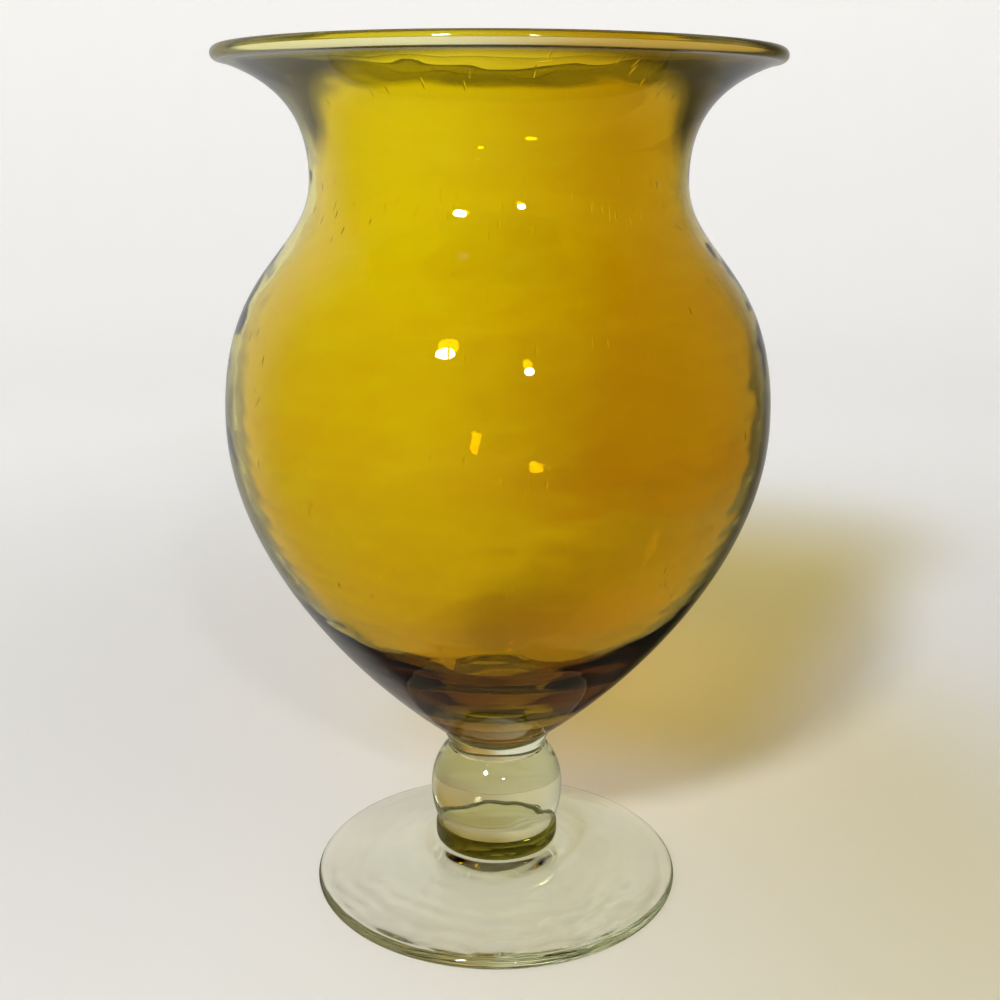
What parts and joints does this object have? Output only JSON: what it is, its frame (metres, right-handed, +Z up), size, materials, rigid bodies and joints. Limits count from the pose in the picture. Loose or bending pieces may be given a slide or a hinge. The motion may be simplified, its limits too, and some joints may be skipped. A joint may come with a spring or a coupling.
{
  "type": "globe vase",
  "caption": "Hand-blown glass flower vase: round amber bowl with a narrow neck and wide flared lip, on a clear ball stem and disc foot.",
  "frame": {"origin": "centre of the plane that the foot stands on", "axes": "+Z up along the vase's axis of turning, +X and +Y level, with no front of its own"},
  "size_m": [0.1816, 0.1816, 0.29],
  "materials": {
    "amber_glass": "fire-polished transparent amber glass",
    "clear_glass": "fire-polished clear glass"
  },
  "bodies": {
    "root": {"foot": "clear_glass", "button": "clear_glass", "ball_knop": "clear_glass", "collar": "clear_glass", "bowl": "amber_glass"}
  },
  "joints": []
}
